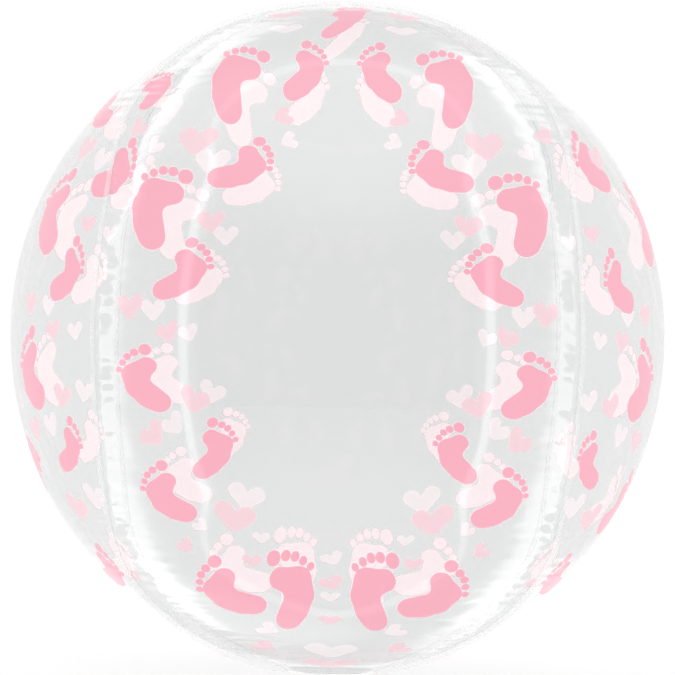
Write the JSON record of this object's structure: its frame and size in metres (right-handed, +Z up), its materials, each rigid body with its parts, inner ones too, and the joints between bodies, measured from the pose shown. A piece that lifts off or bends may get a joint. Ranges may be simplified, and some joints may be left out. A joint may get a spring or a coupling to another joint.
{
  "type": "sphere foil balloon",
  "caption": "Round balloon of clear film, welded from gores along pleated seams, printed with footprints and hearts, with a small flat spot to rest on.",
  "frame": {"origin": "on the floor, under the middle of the balloon, at the flat spot it rests on", "axes": "+Z up along the axis where the panels' ends meet, -Y out of the front panel's middle, +X out of the right panel's middle"},
  "size_m": [0.4644, 0.4644, 0.4776],
  "materials": {
    "film": "clear glossy balloon film with printed pink footprints and hearts",
    "weld": "clear film, heat-welded and crimped"
  },
  "bodies": {
    "root": {"front_panel": "film", "right_panel": "film", "back_panel": "film", "left_panel": "film", "front_right_seam": "weld", "back_right_seam": "weld", "back_left_seam": "weld", "front_left_seam": "weld"}
  },
  "joints": []
}
